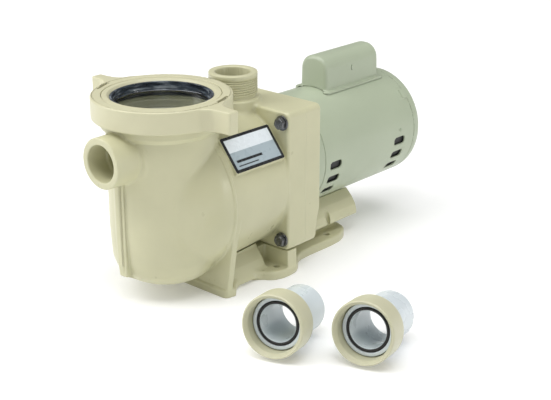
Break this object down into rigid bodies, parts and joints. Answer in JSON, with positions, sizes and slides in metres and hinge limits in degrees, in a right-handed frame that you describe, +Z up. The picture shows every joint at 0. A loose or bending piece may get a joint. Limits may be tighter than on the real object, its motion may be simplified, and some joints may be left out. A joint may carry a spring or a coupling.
{
  "type": "pool pump",
  "caption": "Swimming pool pump with a strainer pot and clear clamped lid, threaded ports, a moulded foot, an electric motor with a capacitor cover, and loose pipe unions.",
  "frame": {"origin": "on the underside of the foot, below the discharge port axis, in the middle plane", "axes": "+X along the shaft from the suction port to the motor, +Y to the side away from the name plate, +Z up"},
  "size_m": [0.6524, 0.5715, 0.313],
  "materials": {
    "almond_plastic": "moulded almond plastic, satin",
    "clamp_plastic": "moulded almond plastic, satin",
    "motor_enamel": "greenish beige enamel, semi-gloss",
    "bell_enamel": "greenish beige enamel on cast aluminium, semi-gloss",
    "olive_plastic": "olive beige moulded plastic, satin",
    "white_pvc": "white PVC",
    "black_rubber": "black rubber",
    "clear_lid": "clear moulded lid",
    "basket_plastic": "pale moulded plastic",
    "dark_steel": "dark coated steel",
    "bright_steel": "plain steel",
    "black_plastic": "black glass-filled plastic",
    "ceramic": "white ceramic",
    "ring_plastic": "grey plastic",
    "lamination_steel": "stacked steel laminations",
    "capacitor_can": "drawn aluminium can",
    "plate_film": null
  },
  "bodies": {
    "pump": {"suction_neck": "almond_plastic", "strainer_pot": "almond_plastic", "discharge_neck": "almond_plastic", "volute_flange": "almond_plastic", "volute": "almond_plastic", "seal_plate": "almond_plastic", "motor_bracket": "almond_plastic", "casing_oring": "black_rubber", "seal_seat": "ceramic", "diffuser": "black_plastic", "wear_ring": "ring_plastic", "motor_front_bell": "bell_enamel", "front_bearing": "bright_steel", "motor_shell": "motor_enamel", "air_baffle_front": "black_plastic", "air_baffle_rear": "black_plastic", "stator": "lamination_steel", "rear_bell": "bell_enamel", "rear_bearing": "bright_steel", "rear_cover": "bell_enamel", "rear_screw_1": "bright_steel", "rear_screw_2": "bright_steel", "rear_screw_3": "bright_steel", "rear_screw_4": "bright_steel", "cable_inlet": "black_plastic", "capacitor_cover": "motor_enamel", "capacitor": "capacitor_can", "capacitor_strap": "bright_steel", "cover_screw_1": "bright_steel", "cover_screw_2": "bright_steel", "foot": "almond_plastic", "flange_washer_1": "dark_steel", "flange_washer_2": "dark_steel", "flange_washer_3": "dark_steel", "flange_washer_4": "dark_steel", "flange_bolt_1": "dark_steel", "flange_bolt_2": "dark_steel", "flange_bolt_3": "dark_steel", "flange_bolt_4": "dark_steel", "name_plate": "plate_film"},
    "rotor": {"motor_shaft": "bright_steel", "impeller": "black_plastic", "seal_head": "black_plastic", "rotor_core": "lamination_steel", "cooling_fan": "black_plastic"},
    "lid": {"strainer_lid": "clear_lid", "lid_oring": "black_rubber", "clamp_inner_ring": "clamp_plastic"},
    "clamp": {"clamp_ring": "clamp_plastic"},
    "basket": {"strainer_basket": "basket_plastic"},
    "pot_plug": {"drain_plug_pot": "black_plastic", "drain_oring_pot": "black_rubber"},
    "volute_plug": {"drain_plug_volute": "black_plastic", "drain_oring_volute": "black_rubber"},
    "union_1": {"union_tailpiece_1": "white_pvc", "union_oring_1": "black_rubber"},
    "nut_1": {"union_nut_1": "olive_plastic"},
    "union_2": {"union_tailpiece_2": "white_pvc", "union_oring_2": "black_rubber"},
    "nut_2": {"union_nut_2": "olive_plastic"}
  },
  "joints": [
    {"name": "rotor_spin", "type": "hinge", "parent": "pump", "child": "rotor", "pos_m": [0, 0, 0.154], "axis": [1, 0, 0], "continuous": true},
    {"name": "lid_lift", "type": "slide", "parent": "pump", "child": "lid", "axis": [0, 0, 1], "range_m": [0, 0.36]},
    {"name": "clamp_turn", "type": "hinge", "parent": "lid", "child": "clamp", "pos_m": [-0.1495, 0, 0.294], "axis": [0, 0, 1], "range_deg": [0, 45]},
    {"name": "basket_lift", "type": "slide", "parent": "pump", "child": "basket", "axis": [0, 0, 1], "range_m": [0, 0.18]},
    {"name": "pot_plug_out", "type": "slide", "parent": "pump", "child": "pot_plug", "axis": [0, 1, 0], "range_m": [0, 0.03]},
    {"name": "volute_plug_out", "type": "slide", "parent": "pump", "child": "volute_plug", "axis": [0, 1, 0], "range_m": [0, 0.03]},
    {"name": "union_1_lift", "type": "slide", "parent": "pump", "child": "union_1", "axis": [0, 0, 1], "range_m": [0, 0.3]},
    {"name": "nut_1_spin", "type": "hinge", "parent": "union_1", "child": "nut_1", "pos_m": [-0.221, -0.28, 0.05094], "axis": [0.9418, 0.297, -0.1574], "continuous": true},
    {"name": "union_2_lift", "type": "slide", "parent": "pump", "child": "union_2", "axis": [0, 0, 1], "range_m": [0, 0.3]},
    {"name": "nut_2_spin", "type": "hinge", "parent": "union_2", "child": "nut_2", "pos_m": [-0.1545, -0.3825, 0.05094], "axis": [0.9516, 0.2639, -0.1574], "continuous": true}
  ],
  "couplings": [
    {"joint": "basket_lift", "follows": "lid_lift", "ratio": 0.5}
  ]
}
